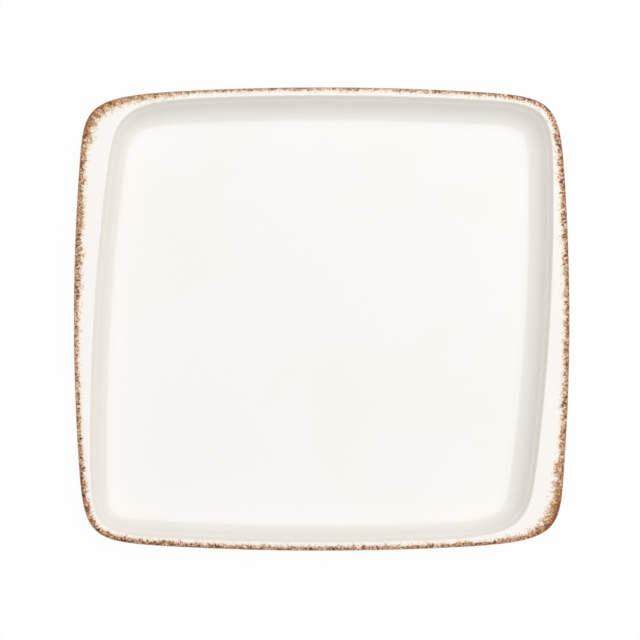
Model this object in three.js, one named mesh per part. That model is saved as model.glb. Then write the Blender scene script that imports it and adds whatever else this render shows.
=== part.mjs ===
import * as THREE from 'three';
import { LoftGeometry } from 'three/addons/geometries/LoftGeometry.js';
import { mergeGeometries, mergeVertices } from 'three/addons/utils/BufferGeometryUtils.js';

// A dinner plate of fired clay: an oblong that is nearly a square, with bowed edges and round corners.
// Its well leans a few degrees inside the rim, so the rim is a thin strip along each side and a wedge
// at each end. Sizes are in millimetres and angles in degrees, +Z is up and +X runs along the length.
// The origin is the middle of the plane that the foot stands on. Ends are the edges at -X and +X, sides
// those at -Y and +Y.

// Outside of the rim, over the glaze
const plateLength = 270;
const plateWidth = 252.4;
const plateHeight = 20;
const endBowRadius = 1145;
const sideBowRadius = 1430;
const rimNearCornerRun = 39.4;
const rimFarCornerEndRun = 30;
const rimFarCornerSideRun = 60;
const rimCornerFullness = 0.926;

// Rim and lip
const endRimWidth = 10.6;
const sideRimWidth = 4.4;
const rimThickness = 5;
const lipRound = 1.6;
const lipUnderTurn = 45;
const rimRootRun = 1.7;
const rimRootDrop = 5.6;

// Mouth of the well, where the rim turns down: it leans, so its corners are two near and two far ones
const mouthLean = 3.24;
const mouthEndBowRadius = 1145;
const mouthSideBowRadius = 1528;
const nearCornerRun = 35.6;
const farCornerEndRun = 35.3;
const farCornerSideRun = 53.6;
const mouthCornerFullness = 0.9;
const mouthEdge = 0.4;

// Wall of the well: a steep step, a narrow ledge and a wide fillet down to the flat floor
const wallRun = 16.4;
const stepRun = 1.6;
const stepDrop = 3;
const ledgeRun = 1.3;
const ledgeDrop = 1.25;
const filletRadius = 15.5;
const floorThickness = 5.2;
const floorCornerRun = 12;
const floorCornerFullness = 0.7;

// Foot ring under the edge of the floor, bare where it stands
const footHeight = 2.4;
const footSetOut = 4.8;
const footWidth = 3.5;
const footSlopeRun = 1.3;
const footDraftRun = 0.8;
const footEdge = 0.6;

// Glaze, and how much of the flat rim and of its underside the coloured band takes
const glazeThickness = 0.35;
const bandOverShare = 0.35;
const bandUnderShare = 0.5;

// Points on the outlines, rows on the round stretches, and steps that find where two bowed edges meet
const halfEdgeSteps = 3;
const cornerSteps = 10;
const lipSteps = 6;
const filletSteps = 4;
const meetSteps = 12;

const clayMaterial = new THREE.MeshStandardMaterial({ color: 0xe9e2d4, roughness: 0.9, metalness: 0 });
const whiteMaterial = new THREE.MeshStandardMaterial({ color: 0xf6f5f0, roughness: 0.12, metalness: 0 });
const bandMaterial = new THREE.MeshStandardMaterial({ color: 0xa06a42, roughness: 0.25, metalness: 0 });

// A quarter of an outline in the first quadrant, from the middle of an end to the middle of a side.
function quarter(plan, slant, corner) {
  const endPoint = (y) => new THREE.Vector2(plan.halfLength + slant * y - y * y / (2 * plan.endRadius), y);
  const sidePoint = (x) => new THREE.Vector2(x, plan.halfWidth - x * x / (2 * plan.sideRadius));
  let meet = new THREE.Vector2(plan.halfLength, plan.halfWidth);
  for (let step = 0; step < meetSteps; step++) {
    meet = endPoint(sidePoint(meet.x).y);
  }
  const start = endPoint(meet.y - corner.endRun);
  const finish = sidePoint(meet.x - corner.sideRun);
  const startWay = new THREE.Vector2(slant - start.y / plan.endRadius, 1).normalize();
  const finishWay = new THREE.Vector2(1, -finish.x / plan.sideRadius).normalize();
  const turn = new THREE.CubicBezierCurve(
    start,
    start.clone().addScaledVector(startWay, plan.fullness * corner.endRun),
    finish.clone().addScaledVector(finishWay, plan.fullness * corner.sideRun),
    finish,
  );
  const points = [];
  for (let step = 0; step < halfEdgeSteps; step++) {
    points.push(endPoint(start.y * step / halfEdgeSteps));
  }
  points.push(...turn.getPoints(cornerSteps));
  for (let step = halfEdgeSteps - 1; step >= 0; step--) {
    points.push(sidePoint(finish.x * step / halfEdgeSteps));
  }
  return points;
}

// A whole outline, anticlockwise from above. A half turn brings it onto itself.
function outline(plan) {
  const slant = Math.tan(THREE.MathUtils.degToRad(plan.lean));
  const near = quarter(plan, slant, plan.nearCorner);
  const far = quarter(plan, -slant, plan.farCorner).reverse();
  const half = near.slice(0, -1);
  for (const point of far.slice(0, -1)) {
    half.push(new THREE.Vector2(-point.x, point.y));
  }
  return [...half, ...half.map((point) => point.clone().negate())];
}

// An outline moved outwards by a distance, square to itself.
function grown(points, distance) {
  return points.map((point, i) => {
    const before = points[(i + points.length - 1) % points.length];
    const after = points[(i + 1) % points.length];
    const way = after.clone().sub(before).normalize();
    return new THREE.Vector2(point.x + way.y * distance, point.y - way.x * distance);
  });
}

// An outline part of the way from one outline to another.
function between(first, second, share) {
  return first.map((point, i) => point.clone().lerp(second[i], share));
}

// The three outlines of the clay, seen from above
const evenCorner = (run) => ({ endRun: run, sideRun: run });
const rimLine = outline({
  halfLength: plateLength / 2 - glazeThickness,
  halfWidth: plateWidth / 2 - glazeThickness,
  lean: 0,
  endRadius: endBowRadius,
  sideRadius: sideBowRadius,
  nearCorner: evenCorner(rimNearCornerRun),
  farCorner: { endRun: rimFarCornerEndRun, sideRun: rimFarCornerSideRun },
  fullness: rimCornerFullness,
});
const mouthPlan = {
  halfLength: plateLength / 2 - endRimWidth,
  halfWidth: plateWidth / 2 - sideRimWidth,
  lean: mouthLean,
  endRadius: mouthEndBowRadius,
  sideRadius: mouthSideBowRadius,
  nearCorner: evenCorner(nearCornerRun),
  farCorner: { endRun: farCornerEndRun, sideRun: farCornerSideRun },
  fullness: mouthCornerFullness,
};
const mouthLine = outline(mouthPlan);
const floorLine = outline({
  ...mouthPlan,
  halfLength: mouthPlan.halfLength - wallRun,
  halfWidth: mouthPlan.halfWidth - wallRun,
  nearCorner: evenCorner(floorCornerRun),
  farCorner: evenCorner(floorCornerRun),
  fullness: floorCornerFullness,
});

// Heights of the clay
const lipTopZ = plateHeight - glazeThickness;
const lipMiddleZ = lipTopZ - rimThickness / 2;
const rimRootZ = lipTopZ - rimRootDrop;
const floorZ = footHeight + floorThickness;

// The fillet's centre lies over the floor's edge. The slope above runs from the ledge to touch the fillet.
const slopeStart = new THREE.Vector2(stepRun + ledgeRun, lipTopZ - stepDrop - ledgeDrop);
const slopeRun = wallRun - slopeStart.x;
const slopeFall = slopeStart.y - floorZ;
const widestFillet = (slopeRun * slopeRun + slopeFall * slopeFall) / (2 * slopeFall);
const fillet = Math.min(filletRadius, widestFillet);
const filletZ = floorZ + fillet;
const centreAway = Math.hypot(slopeRun, slopeStart.y - filletZ);
const slopeAngle = Math.atan2(slopeStart.y - filletZ, slopeRun) + Math.asin(Math.min(1, fillet / centreAway));

// The surface of the clay as rows of points, from the foot's well outwards, over the lip and in to the floor
const rows = [];

function addRow(points, z) {
  rows.push(points.map((point) => new THREE.Vector3(point.x, point.y, z)));
  return rows.length - 1;
}

function addWallRow(run, z) {
  return addRow(between(mouthLine, floorLine, run / wallRun), z);
}

const footRun = wallRun - footSetOut;
const footTopRun = footRun - footDraftRun;
const underRadius = fillet + floorThickness;
const footTopAngle = Math.asin((wallRun - footTopRun) / underRadius);

const footWellRow = addWallRow(footRun + footWidth + footSlopeRun, footHeight);
const footInnerRow = addWallRow(footRun + footWidth, footEdge);
addWallRow(footRun + footWidth - footEdge, 0);
addWallRow(footRun + footEdge, 0);
const footOuterRow = addWallRow(footRun, footEdge);
for (let step = 0; step <= filletSteps; step++) {
  const angle = THREE.MathUtils.lerp(footTopAngle, slopeAngle, step / filletSteps);
  addWallRow(wallRun - underRadius * Math.sin(angle), filletZ - underRadius * Math.cos(angle));
}
const rimRootLine = grown(mouthLine, rimRootRun);
addRow(rimRootLine, rimRootZ);

const lipStart = -THREE.MathUtils.degToRad(lipUnderTurn);
const lipInset = (angle) => grown(rimLine, lipRound * (Math.cos(angle) - 1));
const lipZ = (angle) => lipMiddleZ + rimThickness / 2 * Math.sin(angle);
const bandUnderLine = between(lipInset(lipStart), rimRootLine, bandUnderShare);
const bandUnderRow = addRow(bandUnderLine, THREE.MathUtils.lerp(lipZ(lipStart), rimRootZ, bandUnderShare));
for (let step = 0; step <= lipSteps; step++) {
  const angle = THREE.MathUtils.lerp(lipStart, Math.PI / 2, step / lipSteps);
  addRow(lipInset(angle), lipZ(angle));
}

const rimInnerLine = grown(mouthLine, mouthEdge);
const bandOverRow = addRow(between(lipInset(Math.PI / 2), rimInnerLine, bandOverShare), lipTopZ);
addRow(rimInnerLine, lipTopZ);

addWallRow(0, lipTopZ - mouthEdge);
addWallRow(stepRun, lipTopZ - stepDrop);
addWallRow(slopeStart.x, slopeStart.y);
for (let step = 0; step <= filletSteps; step++) {
  const angle = slopeAngle * (1 - step / filletSteps);
  addWallRow(wallRun - fillet * Math.sin(angle), filletZ - fillet * Math.cos(angle));
}
const floorRow = rows.length - 1;

// The outside of the glaze: each row moved out along the clay's normals, and straight off the two flats
const clayNormals = new LoftGeometry(rows).getAttribute('normal');

function glazeNormal(row, column) {
  if (row === footWellRow) {
    return new THREE.Vector3(0, 0, -1);
  }
  if (row === floorRow) {
    return new THREE.Vector3(0, 0, 1);
  }
  return new THREE.Vector3().fromBufferAttribute(clayNormals, row * (rows[row].length + 1) + column);
}

const glazeRows = rows.map((points, row) => points.map((point, column) => {
  return point.clone().addScaledVector(glazeNormal(row, column), glazeThickness);
}));

// Surfaces that close into solids
function skin(sections) {
  return new LoftGeometry(sections);
}

function flat(points) {
  const corners = points.map((point) => new THREE.Vector2(point.x, point.y));
  const patch = new THREE.ShapeGeometry(new THREE.Shape(corners));
  return patch.translate(0, 0, points[0].z);
}

function turnedOver(geometry) {
  const index = geometry.getIndex();
  for (let corner = 0; corner < index.count; corner += 3) {
    const second = index.getX(corner + 1);
    index.setX(corner + 1, index.getX(corner + 2));
    index.setX(corner + 2, second);
  }
  return geometry;
}

function piece(name, material, surfaces) {
  const joined = mergeGeometries(surfaces);
  joined.deleteAttribute('normal');
  joined.deleteAttribute('uv');
  const solid = mergeVertices(joined);
  solid.computeVertexNormals();
  const mesh = new THREE.Mesh(solid, material);
  mesh.name = name;
  return mesh;
}

// A coat of glaze over the clay from one row to another, closed by flats where it covers the middle
function coat(name, material, from, to) {
  const outside = glazeRows.slice(from, to + 1);
  const inside = rows.slice(from, to + 1);
  const surfaces = [skin(outside), turnedOver(skin(inside))];
  if (from === footWellRow) {
    surfaces.push(turnedOver(flat(glazeRows[from])), flat(rows[from]));
  } else {
    surfaces.push(turnedOver(skin([glazeRows[from], rows[from]])));
  }
  if (to === floorRow) {
    surfaces.push(flat(glazeRows[to]), turnedOver(flat(rows[to])));
  } else {
    surfaces.push(skin([glazeRows[to], rows[to]]));
  }
  return piece(name, material, surfaces);
}

const plate = new THREE.Group();
plate.add(
  piece('clay_body', clayMaterial, [skin(rows), turnedOver(flat(rows[footWellRow])), flat(rows[floorRow])]),
  coat('face_glaze', whiteMaterial, bandOverRow, floorRow),
  coat('rim_band', bandMaterial, bandUnderRow, bandOverRow),
  coat('underside_glaze', whiteMaterial, footOuterRow, bandUnderRow),
  coat('foot_well_glaze', whiteMaterial, footWellRow, footInnerRow),
);

export default plate;
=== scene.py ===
import math

import bmesh
import bpy
from mathutils import Color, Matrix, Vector, kdtree
from mathutils.geometry import interpolate_bezier


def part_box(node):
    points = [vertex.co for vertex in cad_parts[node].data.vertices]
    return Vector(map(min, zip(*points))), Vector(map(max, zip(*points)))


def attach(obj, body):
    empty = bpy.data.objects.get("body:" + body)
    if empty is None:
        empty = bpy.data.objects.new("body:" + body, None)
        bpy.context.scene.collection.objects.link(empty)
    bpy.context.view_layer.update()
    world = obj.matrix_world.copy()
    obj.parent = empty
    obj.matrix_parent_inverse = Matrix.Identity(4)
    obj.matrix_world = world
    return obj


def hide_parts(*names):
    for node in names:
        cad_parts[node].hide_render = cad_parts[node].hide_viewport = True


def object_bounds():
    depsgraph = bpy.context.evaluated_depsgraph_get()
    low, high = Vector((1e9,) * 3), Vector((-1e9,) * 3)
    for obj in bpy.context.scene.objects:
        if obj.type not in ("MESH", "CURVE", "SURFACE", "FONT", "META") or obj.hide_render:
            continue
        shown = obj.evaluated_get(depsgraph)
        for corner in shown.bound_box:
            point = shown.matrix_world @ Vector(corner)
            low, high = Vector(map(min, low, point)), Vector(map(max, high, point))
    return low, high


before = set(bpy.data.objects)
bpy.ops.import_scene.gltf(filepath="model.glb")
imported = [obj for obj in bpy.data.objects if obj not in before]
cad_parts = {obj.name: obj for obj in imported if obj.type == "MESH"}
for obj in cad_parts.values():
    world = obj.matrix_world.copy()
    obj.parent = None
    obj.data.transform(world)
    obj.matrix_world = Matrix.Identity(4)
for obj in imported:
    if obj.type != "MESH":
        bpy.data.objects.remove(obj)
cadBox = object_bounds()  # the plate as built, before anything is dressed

mm = 0.001
print("frame loaded, plate", [round(v / mm, 2) for v in cadBox[1] - cadBox[0]], "mm")


# Outlines seen from above. Ends are the edges at -X and +X, sides those at -Y and +Y. The leaning mouth
# comes near the rim's corners at +X +Y and -X -Y, and stays far from the other two.

glaze = {"thickness": 0.35 * mm, "hair": 0.001 * mm}  # a hair keeps it inside the box

rimPlan = {  # outside of the clay
    "halfLength": cadBox[1].x - glaze["thickness"] - glaze["hair"],
    "halfWidth": cadBox[1].y - glaze["thickness"] - glaze["hair"],
    "lean": 0.0,
    "endBow": 1145 * mm,
    "sideBow": 1430 * mm,
    "nearCorner": (39.4 * mm, 39.4 * mm),  # run along the end, run along the side
    "farCorner": (30 * mm, 60 * mm),
    "fullness": 0.926,
}
mouthPlan = {  # where the rim turns down into the well
    "halfLength": cadBox[1].x - 10.6 * mm,
    "halfWidth": cadBox[1].y - 4.4 * mm,
    "lean": math.tan(math.radians(3.24)),
    "endBow": 1145 * mm,
    "sideBow": 1528 * mm,
    "nearCorner": (35.6 * mm, 35.6 * mm),
    "farCorner": (35.3 * mm, 53.6 * mm),
    "fullness": 0.9,
}
wall = {
    "run": 16.4 * mm,  # mouth to floor, seen from above
    "step": (1.6 * mm, 3.0 * mm),  # run and drop
    "ledge": (1.3 * mm, 1.25 * mm),
    "fillet": 15.5 * mm,
}
floorPlan = {
    **mouthPlan,
    "halfLength": mouthPlan["halfLength"] - wall["run"],
    "halfWidth": mouthPlan["halfWidth"] - wall["run"],
    "nearCorner": (12 * mm, 12 * mm),
    "farCorner": (12 * mm, 12 * mm),
    "fullness": 0.7,
}
smoothness = {  # steps along each
    "halfEdge": 10,
    "corner": 24,
    "lip": 15,
    "fillet": 12,
    "nearestFiner": 24,  # times finer, to look for the nearest point of the edge
}
meetingPasses = 12


def quarterLine(plan, lean, corner, halfEdge, turns):  # middle of an end to the middle of a side
    def endX(y):
        return plan["halfLength"] + lean * y - y * y / (2 * plan["endBow"])

    def sideY(x):
        return plan["halfWidth"] - x * x / (2 * plan["sideBow"])

    x = plan["halfLength"]
    for _ in range(meetingPasses):  # settles on the point where the two edges would meet
        y = sideY(x)
        x = endX(y)
    startY = y - corner[0]
    finishX = x - corner[1]
    start = Vector((endX(startY), startY))
    finish = Vector((finishX, sideY(finishX)))
    startWay = Vector((lean - startY / plan["endBow"], 1)).normalized()
    finishWay = Vector((1, -finishX / plan["sideBow"])).normalized()
    startHandle = start + startWay * plan["fullness"] * corner[0]
    finishHandle = finish + finishWay * plan["fullness"] * corner[1]
    turn = interpolate_bezier(start, startHandle, finishHandle, finish, turns + 1)
    ends = [startY * i / halfEdge for i in range(halfEdge)]
    sides = [finishX * i / halfEdge for i in reversed(range(halfEdge))]
    return [Vector((endX(v), v)) for v in ends] + turn + [Vector((v, sideY(v))) for v in sides]


def planLine(plan, finer=1):  # a half turn brings every outline onto itself
    steps = (smoothness["halfEdge"] * finer, smoothness["corner"] * finer)
    near = quarterLine(plan, plan["lean"], plan["nearCorner"], *steps)
    far = quarterLine(plan, -plan["lean"], plan["farCorner"], *steps)
    half = near[:-1] + [Vector((-p.x, p.y)) for p in reversed(far)][:-1]
    return half + [-p for p in half]


def grown(line, distance):  # outwards
    moved = []
    for i, p in enumerate(line):
        way = (line[(i + 1) % len(line)] - line[i - 1]).normalized()
        moved.append(p + Vector((way.y, -way.x)) * distance)
    return moved


def between(first, second, share):
    return [a.lerp(b, share) for a, b in zip(first, second)]


rimLine = planLine(rimPlan)
mouthLine = planLine(mouthPlan)
floorLine = planLine(floorPlan)


# Rows that the surface runs through, from the foot's well outwards, over the lip and in to the floor

lip = {"thickness": 5 * mm, "round": 1.6 * mm, "underTurn": math.radians(45)}
rimRoot = {"out": 1.7 * mm, "drop": 5.6 * mm}  # where the rim's underside meets the wall's outside
foot = {"setOut": 4.8 * mm, "width": 3.5 * mm, "slope": 1.3 * mm, "draft": 0.8 * mm, "edge": 0.6 * mm}
band = {"overShare": 0.35, "underShare": 0.5}  # how much of the flat rim and of its underside it takes

lipTopZ = cadBox[1].z - glaze["thickness"]
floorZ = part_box("face_glaze")[0].z
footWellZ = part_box("foot_well_glaze")[1].z
rows = []


def row(name, line, z):
    rows.append((name, line, z))


def wallRow(name, run, z):
    row(name, between(mouthLine, floorLine, run / wall["run"]), z)


def arcRow(name, radius, angle):  # round the middle of the fillet
    wallRow(name, wall["run"] - radius * math.sin(angle), filletZ - radius * math.cos(angle))


def arcAngles(first, last, steps):
    return [first + (last - first) * i / steps for i in range(steps + 1)]


slopeX = wall["step"][0] + wall["ledge"][0]
slopeZ = lipTopZ - wall["step"][1] - wall["ledge"][1]
filletZ = floorZ + wall["fillet"]
centreAway = math.hypot(wall["run"] - slopeX, slopeZ - filletZ)
slopeAngle = math.atan2(slopeZ - filletZ, wall["run"] - slopeX) + math.asin(wall["fillet"] / centreAway)
underRadius = wall["fillet"] + floorZ - footWellZ
footRun = wall["run"] - foot["setOut"]
footTopAngle = math.asin((foot["setOut"] + foot["draft"]) / underRadius)

wallRow("footWell", footRun + foot["width"] + foot["slope"], footWellZ)
wallRow("footInner", footRun + foot["width"], foot["edge"])
wallRow("standInner", footRun + foot["width"] - foot["edge"], 0)
wallRow("standOuter", footRun + foot["edge"], 0)
wallRow("footOuter", footRun, foot["edge"])
for i, angle in enumerate(arcAngles(footTopAngle, slopeAngle, smoothness["fillet"])):
    arcRow("footTop" if i == 0 else f"under{i}", underRadius, angle)
lipRows = []
for angle in arcAngles(-lip["underTurn"], math.pi / 2, smoothness["lip"]):
    inset = lip["round"] * (1 - math.cos(angle))
    lipRows.append((grown(rimLine, -inset), lipTopZ - lip["thickness"] / 2 * (1 - math.sin(angle))))
rootLine = grown(mouthLine, rimRoot["out"])
rootZ = lipTopZ - rimRoot["drop"]
row("rimRoot", rootLine, rootZ)
underZ = lipRows[0][1] + (rootZ - lipRows[0][1]) * band["underShare"]
row("bandUnder", between(lipRows[0][0], rootLine, band["underShare"]), underZ)
for i, (line, z) in enumerate(lipRows):
    row("lipUnder" if i == 0 else f"lip{i}", line, z)
row("bandOver", between(lipRows[-1][0], mouthLine, band["overShare"]), lipTopZ)
row("mouth", mouthLine, lipTopZ)
wallRow("step", wall["step"][0], lipTopZ - wall["step"][1])
wallRow("ledge", slopeX, slopeZ)
for i, angle in enumerate(arcAngles(slopeAngle, 0, smoothness["fillet"])):
    arcRow("floor" if i == smoothness["fillet"] else f"fillet{i}", wall["fillet"], angle)
rowNames = [name for name, line, z in rows]
print("outlines made,", len(rimLine), "points round,", len(rows), "rows")


# Meshes

softEdges = {  # how far each crisp row is rounded off
    "footWell": 0.6 * mm,
    "standInner": 0.3 * mm,
    "standOuter": 0.3 * mm,
    "footTop": 0.7 * mm,
    "rimRoot": 0.4 * mm,
    "lipUnder": 0.2 * mm,
    "mouth": 0.3 * mm,
    "step": 0.4 * mm,
    "ledge": 0.2 * mm,
}
meshing = {"softSteps": 4, "flatInset": 1.5 * mm, "weld": 0.001 * mm, "sharpAngle": math.radians(60)}


def pullRows(bm, first, last):  # a loop of the outline, pulled on from row to row
    column = bm.verts.layers.int.new("column")
    chosen = rows[rowNames.index(first) : rowNames.index(last) + 1]
    loops = {}
    edges = []
    for name, line, z in chosen:
        if not edges:
            verts = bmesh.ops.create_circle(bm, segments=len(line), radius=1)["verts"]
            for i, v in enumerate(verts):
                v[column] = i
            edges = list(bm.edges)
        else:
            made = bmesh.ops.extrude_edge_only(bm, edges=edges)["geom"]
            verts = [g for g in made if isinstance(g, bmesh.types.BMVert)]
            fresh = set(verts)
            edges = [g for g in made if isinstance(g, bmesh.types.BMEdge) and fresh.issuperset(g.verts)]
        for v in verts:
            v.co = line[v[column]].to_3d()
            v.co.z = z
        loops[name] = edges
    return loops


def softenRows(bm, loops):  # rows on an open edge stay crisp
    for name, width in softEdges.items():
        inner = [e for e in loops.get(name, []) if len(e.link_faces) == 2]
        if inner:
            bmesh.ops.bevel(
                bm, geom=inner, offset=width, offset_type="OFFSET", segments=meshing["softSteps"],
                profile=0.5, affect="EDGES", material=-1, clamp_overlap=True,
            )


def closeFlat(bm, edges):  # the flat in the middle, with a strip round it that keeps its shading flat
    faces = bmesh.ops.contextual_create(bm, geom=edges)["faces"]
    bmesh.ops.inset_region(bm, faces=faces, thickness=meshing["flatInset"])


def placed(name, data):
    made = bpy.data.objects.new(name, data)
    bpy.context.collection.objects.link(made)
    return made


def meshObject(name, bm):
    mesh = bpy.data.meshes.new(name)
    bm.to_mesh(mesh)
    bm.free()
    return placed(name, mesh)


def makePiece(name, bm):
    bm.verts.layers.int.remove(bm.verts.layers.int["column"])
    bmesh.ops.remove_doubles(bm, verts=bm.verts, dist=meshing["weld"])
    for face in bm.faces:
        face.smooth = True
    for edge in bm.edges:
        edge.smooth = edge.calc_face_angle(0) < meshing["sharpAngle"]
    return meshObject(name, bm)


def clayPiece(name):
    bm = bmesh.new()
    loops = pullRows(bm, "footWell", "floor")
    closeFlat(bm, loops["footWell"])
    closeFlat(bm, loops["floor"])
    softenRows(bm, loops)
    bmesh.ops.recalc_face_normals(bm, faces=bm.faces)
    return makePiece(name, bm)


def facing(bm, side):  # over zero where the faces already look to that side of the plate
    flatWays = {"up": Vector((0, 0, 1)), "down": Vector((0, 0, -1))}
    total = 0
    for face in bm.faces:
        way = flatWays.get(side) or face.calc_center_median().xy.to_3d()
        total += face.normal.dot(way) * face.calc_area()
    return total


def glazePiece(name, first, last, side, flat=None):  # the clay's own surface, thickened outwards
    bm = bmesh.new()
    loops = pullRows(bm, first, last)
    if flat:
        closeFlat(bm, loops[flat])
    softenRows(bm, loops)
    bmesh.ops.recalc_face_normals(bm, faces=bm.faces)
    if facing(bm, side) < 0:
        bmesh.ops.reverse_faces(bm, faces=bm.faces)
    bmesh.ops.solidify(bm, geom=list(bm.faces), thickness=-glaze["thickness"])
    if bm.calc_volume(signed=True) < 0:
        bmesh.ops.reverse_faces(bm, faces=bm.faces)
    return makePiece(name, bm)


clay = clayPiece("clay_body_smooth")
faceGlaze = glazePiece("face_glaze_smooth", "bandOver", "floor", "up", flat="floor")
rimBand = glazePiece("rim_band_smooth", "bandUnder", "bandOver", "out")
underGlaze = glazePiece("underside_glaze_smooth", "footOuter", "bandUnder", "out")
footWellGlaze = glazePiece("foot_well_glaze_smooth", "footWell", "footInner", "down", flat="footWell")
pieces = {  # piece: the node it stands for and its slot
    clay: ("clay_body", "bare_clay"),
    faceGlaze: ("face_glaze", "white_glaze"),
    rimBand: ("rim_band", "speckled_glaze"),
    underGlaze: ("underside_glaze", "white_glaze"),
    footWellGlaze: ("foot_well_glaze", "white_glaze"),
}
for piece in pieces:
    print("made", piece.name, len(piece.data.polygons), "faces")


# Marks that tell where the glaze is speckled. Its points keep the nearest point of the edge, the distance
# to it and what the band is like there. Its corners keep how steep the surface stands: painted shade and
# light follow it.

clockHours = 12  # 12 is at +Y and 3 at +X
bandPlaces = {  # the reach is measured in from the edge; dense below 0 is sparse
    "backSide": {"hour": 1.1, "reachMm": 2.6, "dense": -0.4, "golden": 0.0, "lipDark": 1.2},
    "backRightCorner": {"hour": 1.6, "reachMm": 4.1, "dense": 0.0, "golden": 0.1, "lipDark": 0.5},
    "rightEnd": {"hour": 3.3, "reachMm": 3.9, "dense": -0.15, "golden": 0.2, "lipDark": 0.8},
    "rightEndFront": {"hour": 3.95, "reachMm": 4.3, "dense": -0.05, "golden": 0.35, "lipDark": 0.4},
    "rightEndCorner": {"hour": 4.15, "reachMm": 6.1, "dense": 0.15, "golden": 0.6, "lipDark": 0.3},
    "frontRightCorner": {"hour": 4.33, "reachMm": 6.5, "dense": 0.5, "golden": 1.0, "lipDark": 1.8},
    "frontSideCorner": {"hour": 4.58, "reachMm": 3.9, "dense": 0.3, "golden": 0.1, "lipDark": -0.5},
    "frontSideRight": {"hour": 4.98, "reachMm": 3.3, "dense": 0.1, "golden": 0.1, "lipDark": -0.2},
    "frontSideLeft": {"hour": 6.5, "reachMm": 3.3, "dense": 0.0, "golden": 0.05, "lipDark": 0.0},
    "frontLeftCorner": {"hour": 7.7, "reachMm": 3.9, "dense": 0.3, "golden": 0.1, "lipDark": 0.4},
    "leftEndFront": {"hour": 8.4, "reachMm": 3.3, "dense": -0.1, "golden": 0.0, "lipDark": -0.3},
    "leftEndBack": {"hour": 9.7, "reachMm": 4.8, "dense": 0.15, "golden": 0.1, "lipDark": -0.2},
    "leftEndCorner": {"hour": 10.1, "reachMm": 4.1, "dense": 0.1, "golden": 0.2, "lipDark": -0.1},
    "backLeftCorner": {"hour": 10.4, "reachMm": 6.3, "dense": 0.2, "golden": 1.0, "lipDark": 0.7},
    "backSideCorner": {"hour": 10.68, "reachMm": 4.8, "dense": -0.2, "golden": 0.5, "lipDark": 0.7},
    "backSideLeft": {"hour": 11.05, "reachMm": 2.4, "dense": -0.45, "golden": 0.0, "lipDark": 0.9},
}
bandMarks = ("reachMm", "dense", "golden", "lipDark")


def bandAt(point):  # eased from one place to the next
    hour = math.atan2(point.x, point.y) / math.tau * clockHours % clockHours
    places = list(bandPlaces.values())
    after = next((place for place in places if place["hour"] > hour), places[0])
    before = places[places.index(after) - 1]
    t = (hour - before["hour"]) % clockHours / ((after["hour"] - before["hour"]) % clockHours)
    share = t * t * (3 - 2 * t)
    return {name: before[name] + (after[name] - before[name]) * share for name in bandMarks}


def markEdge(piece, tree):
    mesh = piece.data
    mesh.attributes.new("edgePoint", "FLOAT_VECTOR", "POINT")
    mesh.attributes.new("steep", "FLOAT", "CORNER")
    for name in ("edgeMm", *bandMarks):
        mesh.attributes.new(name, "FLOAT", "POINT")
    marks = {mark.name: mark.data for mark in mesh.attributes}
    for i, v in enumerate(mesh.vertices):
        nearest, _, distance = tree.find(v.co.xy.to_3d())
        marks["edgePoint"][i].vector = nearest
        marks["edgeMm"][i].value = distance / mm
        for name, value in bandAt(v.co).items():
            marks[name][i].value = value
    for i, normal in enumerate(mesh.corner_normals):
        marks["steep"][i].value = 1 - abs(normal.vector.z)


edgeLine = grown(planLine(rimPlan, finer=smoothness["nearestFiner"]), glaze["thickness"])
edgeTree = kdtree.KDTree(len(edgeLine))
for i, p in enumerate(edgeLine):
    edgeTree.insert(p.to_3d(), i)
edgeTree.balance()
for piece in (faceGlaze, rimBand, underGlaze):
    markEdge(piece, edgeTree)
print("edge distances marked")


# Finishes

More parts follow.
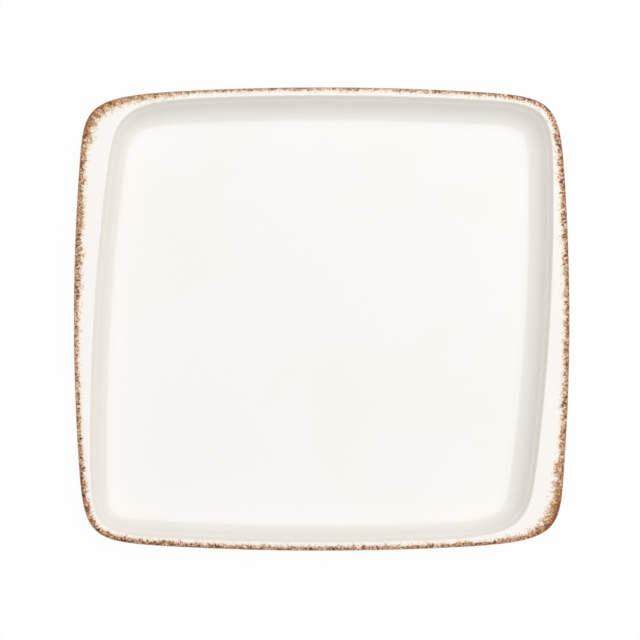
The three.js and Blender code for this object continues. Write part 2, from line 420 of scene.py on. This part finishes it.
class Wire:  # a socket that takes part in sums
    def __init__(self, tree, socket=None):
        self.tree = tree
        self.socket = socket

    def node(self, kind, settings, inputs, output=0):
        made = self.tree.nodes.new(kind)
        for name, value in settings.items():
            setattr(made, name, value)
        for key, value in inputs.items():
            if isinstance(value, Wire):
                self.tree.links.new(value.socket, made.inputs[key])
            else:
                made.inputs[key].default_value = value
        return Wire(self.tree, made.outputs[output])

    def output(self, name):  # another output of the same node
        return Wire(self.tree, self.socket.node.outputs[name])

    def maths(self, operation, first, second):
        return self.node("ShaderNodeMath", {"operation": operation}, {0: first, 1: second})

    def __add__(self, other):
        return self.maths("ADD", self, other)

    def __radd__(self, other):
        return self.maths("ADD", other, self)

    def __sub__(self, other):
        return self.maths("SUBTRACT", self, other)

    def __rsub__(self, other):
        return self.maths("SUBTRACT", other, self)

    def __mul__(self, other):
        return self.maths("MULTIPLY", self, other)

    def __rmul__(self, other):
        return self.maths("MULTIPLY", other, self)

    def __truediv__(self, other):
        return self.maths("DIVIDE", self, other)

    def larger(self, other):
        return self.maths("MAXIMUM", self, other)

    def smaller(self, other):
        return self.maths("MINIMUM", self, other)

    def between(self, low, high):  # 0 at low and 1 at high, eased
        inputs = {"Value": self, "From Min": low, "From Max": high}
        return self.node("ShaderNodeMapRange", {"interpolation_type": "SMOOTHSTEP"}, inputs)

    def noise(self, scale, detail=2.0, roughness=0.5, distortion=0.0, output=0):
        inputs = {"Vector": self, "Scale": scale, "Detail": detail}
        inputs.update({"Roughness": roughness, "Distortion": distortion})
        return self.node("ShaderNodeTexNoise", {}, inputs, output)

    def noises(self, scale, **settings):  # three that have nothing to do with each other
        parts = self.node("ShaderNodeSeparateXYZ", {}, {0: self.noise(scale, output="Color", **settings)})
        return [parts.output(k) for k in range(3)]

    def mix(self, under, over):  # this share of one colour laid over another
        return self.node("ShaderNodeMix", {"data_type": "RGBA"}, {0: self, 6: under, 7: over}, output=2)

    def towards(self, other, share):  # a place on the way from this one to another
        return self.node("ShaderNodeMix", {"data_type": "VECTOR"}, {0: share, 4: self, 5: other}, output=1)

    def mark(self, name, output="Fac"):  # what the mesh keeps under that name
        return self.node("ShaderNodeAttribute", {"attribute_name": name}, {}, output)

    def bump(self, strength, distance):
        return self.node("ShaderNodeBump", {}, {"Height": self, "Strength": strength, "Distance": distance})


def shade(red, green, blue):  # a colour as seen on screen, in levels up to 255
    return (*Color((red / 255, green / 255, blue / 255)).from_srgb_to_scene_linear(), 1)


def newFinish(name, constants):
    material = bpy.data.materials.new(name)
    material.use_nodes = True
    shader = material.node_tree.nodes["Principled BSDF"]
    for key, value in constants.items():
        shader.inputs[key].default_value = value
    where = Wire(material.node_tree).node("ShaderNodeTexCoord", {}, {}, output="Object")
    return material, shader, where


def connect(shader, inputs):
    tree = shader.id_data
    for name, wire in inputs.items():
        tree.links.new(wire.socket, shader.inputs[name])


whiteGlaze = {
    "colour": shade(244, 242, 238),
    "warm": shade(244, 239, 232),  # in wide faint clouds
    "clouds": {"scale": 12, "cut": (0.35, 0.75), "share": 0.4},
    "wall": shade(241, 237, 228),  # painted shade: darker and warmer where the surface stands steep, for the shade inside the well's walls
    "steep": (0.0, 0.35),
    "gloss": {
        "Specular IOR Level": 0.0,
        "Roughness": 0.5,
        "Coat Weight": 1.0,
        "Coat Roughness": 0.06,
        "Coat IOR": 1.5,
    },
    "ripple": {"scale": 55, "depth": 0.02 * mm, "strength": 0.5},
}
bandLook = {  # pairs are shares of its reach; 1 is the place that the reach is measured to
    "fade": (0.5, 1.2),  # specks grow rarer
    "end": (1.1, 1.45),  # and stop
    "loose": 0.25,  # both are drawn out this far where the band is golden
    "merged": 0.75,  # how far the browns run together along the lip there
    "fainter": {"golden": 0.45, "sparse": 0.8},  # brown and dark specks, where it is so
    "wash": (0.65, 1.08),  # the tints under them end
    "halo": (0.9, 1.7),
    "lip": (0.0, 0.6),  # the lip's own darkness ends
    "underReach": 0.8,  # how much of it there is underneath
    "clump": {"scale": 260, "sway": 0.8},  # the border wanders, finely and widely
    "patch": {"scale": 55, "sway": 0.5},
}
noiseMiddle = 0.5
underSpecks = {  # tints of the glaze that the specks lie in
    "halo": shade(247, 235, 217),
    "haloShare": 0.5,
    "wash": shade(240, 214, 188),
    "goldWash": shade(228, 188, 142),
    "washLeast": 0.6,
    "washCut": (0.35, 0.65),  # where the wide noise makes it stronger
}
specks = {  # cut: where the grain becomes a speck; the rest shift it
    "tan": {"colour": shade(209, 166, 130), "cut": (0.40, 0.50), "fade": 0.32, "dense": 0.16, "lip": 0.0},
    "brown": {"colour": shade(145, 102, 72), "cut": (0.48, 0.56), "fade": 0.24, "dense": 0.06, "lip": 0.08},
    "dark": {"colour": shade(104, 51, 25), "cut": (0.54, 0.60), "fade": 0.24, "dense": 0.07, "lip": 0.08},
}
goldTan = shade(190, 136, 80)
darkBlend = (0.6, 0.4)  # of two noises, so that dark specks lie mostly in brown ones
greySpecks = {  # along the inner border
    "colour": shade(162, 152, 128),
    "cut": (0.55, 0.65),
    "from": (0.6, 0.85),
    "to": (1.05, 1.4),
    "share": 0.55,
    "goldenShare": 0.85,
}
grain = {"scale": 800, "detail": 2, "roughness": 0.6, "distortion": 0.8}
grainStretch = 0.78  # under 1 it runs across the edge
lipBreakAndPaintedLight = {"colour": shade(226, 150, 88), "steep": (0.25, 0.8), "share": 0.35}  # warmer and lighter where the stained lip stands steep: the glaze breaking warmer over the edge, and painted light on the lip's shaded side
speckMatte = 0.8  # how far the specks break the gloss
speckHeight = 0.3  # beside the ripple


def glazeColour(where):
    clouds = whiteGlaze["clouds"]
    share = where.noise(clouds["scale"]).between(*clouds["cut"]) * clouds["share"]
    return share.mix(whiteGlaze["colour"], whiteGlaze["warm"])


def speckleColour(where, base, reachScale):
    dense, golden, lipDark = [where.mark(name) for name in ("dense", "golden", "lipDark")]
    clump = where.noise(bandLook["clump"]["scale"])
    patch = where.noise(bandLook["patch"]["scale"])
    share = where.mark("edgeMm") / (where.mark("reachMm") * reachScale)
    share = share + (clump - noiseMiddle) * bandLook["clump"]["sway"]
    share = share + (patch - noiseMiddle) * bandLook["patch"]["sway"]
    loose = golden * bandLook["loose"]
    fade = share.between(bandLook["fade"][0] - loose, bandLook["fade"][1] + loose)
    inside = 1 - share.between(bandLook["end"][0] + loose, bandLook["end"][1] + loose)
    lip = lipDark * (1 - share.between(*bandLook["lip"]))
    across = where.mark("edgePoint", "Vector").towards(where, grainStretch)
    first, second, third = across.noises(**grain)

    def speck(kind, grains, density):
        look = specks[kind]
        shifted = grains - look["fade"] * fade + look["dense"] * density + look["lip"] * lip
        return shifted.between(*look["cut"]) * inside

    full = dense.larger(0.0)
    sparse = full - dense
    strong = 1 - golden * bandLook["fainter"]["golden"] - sparse * bandLook["fainter"]["sparse"]
    tan = speck("tan", first, dense)
    merged = (golden * lip * bandLook["merged"]).smaller(1.0)
    brown = (speck("brown", second, full) * strong).larger(merged)
    dark = speck("dark", second * darkBlend[0] + third * darkBlend[1], full) * strong
    grey = third.between(*greySpecks["cut"]) * share.between(*greySpecks["from"])
    grey = grey * (1 - share.between(*greySpecks["to"]))
    grey = grey * (greySpecks["share"] + golden * (greySpecks["goldenShare"] - greySpecks["share"]))
    least = underSpecks["washLeast"]
    cloudy = least + (1 - least) * patch.between(*underSpecks["washCut"])
    wash = (1 - share.between(*bandLook["wash"])) * cloudy
    halo = (1 - share.between(*bandLook["halo"])) * underSpecks["haloShare"]
    painted = halo.mix(base, underSpecks["halo"])
    painted = grey.mix(painted, greySpecks["colour"])
    painted = wash.mix(painted, golden.mix(underSpecks["wash"], underSpecks["goldWash"]))
    painted = tan.mix(painted, golden.mix(specks["tan"]["colour"], goldTan))
    painted = brown.mix(painted, specks["brown"]["colour"])
    painted = dark.mix(painted, specks["dark"]["colour"])
    stain = tan.larger(brown)
    # painted light with the glaze's warmer break: a lighter warm tint where the stained lip stands steep
    # and in shade
    warm = where.mark("steep").between(*lipBreakAndPaintedLight["steep"]) * stain * lipBreakAndPaintedLight["share"]
    return warm.mix(painted, lipBreakAndPaintedLight["colour"]), stain


def glazeFinish(name, reachScale=None):
    material, shader, where = newFinish(name, whiteGlaze["gloss"])
    ripple = whiteGlaze["ripple"]
    colour = glazeColour(where)
    height = where.noise(ripple["scale"])
    if reachScale:
        # painted shade: steep walls take the darker, warmer wall colour
        colour = where.mark("steep").between(*whiteGlaze["steep"]).mix(colour, whiteGlaze["wall"])
        colour, stain = speckleColour(where, colour, reachScale)
        height = height + stain * speckHeight
        connect(shader, {"Coat Weight": 1 - stain * speckMatte})
    connect(shader, {"Base Color": colour, "Normal": height.bump(ripple["strength"], ripple["depth"])})
    return material


bareClay = {
    "colour": shade(226, 216, 198),
    "dust": shade(204, 190, 168),
    "specular": 0.3,
    "roughness": (0.75, 0.95),
    "grit": {"scale": 1800, "detail": 3, "roughness": 0.7},
    "gritDust": {"cut": (0.55, 0.7), "share": 0.4},
    "blotch": {"scale": 90, "detail": 3},
    "blotchDust": {"cut": (0.4, 0.7), "share": 0.6},
    "tooth": {"depth": 0.05 * mm, "strength": 0.6},
}


def clayFinish(name):
    material, shader, where = newFinish(name, {"Specular IOR Level": bareClay["specular"]})
    grit = where.noise(**bareClay["grit"])
    blotch = where.noise(**bareClay["blotch"])
    dusty = blotch.between(*bareClay["blotchDust"]["cut"]) * bareClay["blotchDust"]["share"]
    dusty = dusty + grit.between(*bareClay["gritDust"]["cut"]) * bareClay["gritDust"]["share"]
    low, high = bareClay["roughness"]
    connect(shader, {
        "Base Color": dusty.mix(bareClay["colour"], bareClay["dust"]),
        "Roughness": low + (high - low) * grit,
        "Normal": grit.bump(bareClay["tooth"]["strength"], bareClay["tooth"]["depth"]),
    })
    return material


finishes = {
    clay: clayFinish("bareClay"),
    faceGlaze: glazeFinish("faceGlaze", reachScale=1.0),
    rimBand: glazeFinish("speckledGlaze", reachScale=1.0),
    underGlaze: glazeFinish("underGlaze", reachScale=bandLook["underReach"]),
    footWellGlaze: glazeFinish("footWellGlaze"),
}
for piece, (node, slot) in pieces.items():
    piece.data.materials.append(finishes[piece])
    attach(piece, "root")
    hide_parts(node)
print("finishes set")


# Floor, light and camera

white = (1, 1, 1, 1)
stage = {"size": 6.0, "lift": 0.94}  # lift: how far the camera sees plain white
light = {
    "skyColour": (1, 0.975, 0.945, 1),
    "horizon": 0.462,  # how bright the sky is there
    "overhead": 0.17,  # and how much brighter above
    "keyColour": (0.985, 1.012, 1.065),
    "keyWatts": 12.4,
    "keyAway": 1.3,  # near enough to fall off across the plate
    "keyTilt": math.radians(23),  # from overhead
    "keyFrom": math.radians(45),  # towards +X and +Y
    "keyWidth": math.radians(82),
    "ceiling": 0.8,  # what the lit ceiling adds to the white that the gloss shows
    "ceilingEdge": 0.02,
}
photo = {  # the width is what the picture spans at the height of its aim
    "width": 348.5 * mm,
    "aim": (-0.9 * mm, -0.53 * mm, 18 * mm),
    "lens": 250,
    "sensor": 36,
}


def backgroundRays(wire):  # 1 for rays that see the background: from the camera, a mirror or glass
    camera = wire.node("ShaderNodeLightPath", {}, {}, output="Is Camera Ray")
    glossy = camera.output("Is Glossy Ray")
    return camera.larger(glossy).larger(camera.output("Is Transmission Ray")), glossy


def keyWay():
    tilt, turn = light["keyTilt"], light["keyFrom"]
    return Vector((math.sin(tilt) * math.cos(turn), math.sin(tilt) * math.sin(turn), math.cos(tilt)))


def makeFloor():
    bm = bmesh.new()
    bmesh.ops.create_grid(bm, x_segments=1, y_segments=1, size=stage["size"] / 2)
    floor = meshObject("floor", bm)
    material = bpy.data.materials.new("floorWhite")
    material.use_nodes = True
    tree = material.node_tree
    tree.nodes.remove(tree.nodes["Principled BSDF"])
    wire = Wire(tree)
    matte = wire.node("ShaderNodeBsdfDiffuse", {}, {"Color": white})
    plain = wire.node("ShaderNodeEmission", {}, {"Color": white})
    seen, _ = backgroundRays(wire)
    mixed = wire.node("ShaderNodeMixShader", {}, {0: seen * stage["lift"], 1: matte, 2: plain})
    tree.links.new(mixed.socket, tree.nodes["Material Output"].inputs["Surface"])
    floor.data.materials.append(material)


def makeLight():
    scene = bpy.context.scene
    scene.world = bpy.data.worlds.new("studio")
    scene.world.use_nodes = True
    tree = scene.world.node_tree
    wire = Wire(tree)
    way = wire.node("ShaderNodeTexCoord", {}, {}, output="Generated")
    height = wire.node("ShaderNodeSeparateXYZ", {}, {0: way}, output=2)
    sky = light["horizon"] + light["overhead"] * height.larger(0.0)
    dot = {"operation": "DOT_PRODUCT"}
    keyward = wire.node("ShaderNodeVectorMath", dot, {0: way, 1: keyWay()}, output="Value")
    spread, edge = light["keyWidth"] / 2, light["ceilingEdge"]
    ceiling = keyward.between(math.cos(spread + edge), math.cos(spread - edge)) * light["ceiling"]
    seen, glossy = backgroundRays(wire)
    strength = seen + (1 - seen) * sky + glossy * ceiling
    tree.links.new(strength.socket, tree.nodes["Background"].inputs["Strength"])
    colour = seen.mix(light["skyColour"], white)
    tree.links.new(colour.socket, tree.nodes["Background"].inputs["Color"])
    lamp = bpy.data.lights.new("softKey", "AREA")
    lamp.shape = "DISK"
    lamp.size = 2 * light["keyAway"] * math.tan(spread)
    lamp.energy = light["keyWatts"]
    lamp.color = light["keyColour"]
    key = placed("softKey", lamp)
    key.visible_camera = False
    key.location = keyWay() * light["keyAway"]
    key.rotation_euler = keyWay().to_track_quat("Z", "Y").to_euler()


def makeCamera():
    data = bpy.data.cameras.new("photoCamera")
    data.lens = photo["lens"]
    data.sensor_width = photo["sensor"]
    camera = placed("photoCamera", data)
    distance = photo["width"] * photo["lens"] / photo["sensor"]
    camera.location = Vector(photo["aim"]) + Vector((0, 0, distance))
    bpy.context.scene.camera = camera


makeFloor()
makeLight()
makeCamera()
bpy.context.scene.view_settings.view_transform = "Standard"
print("stage set")
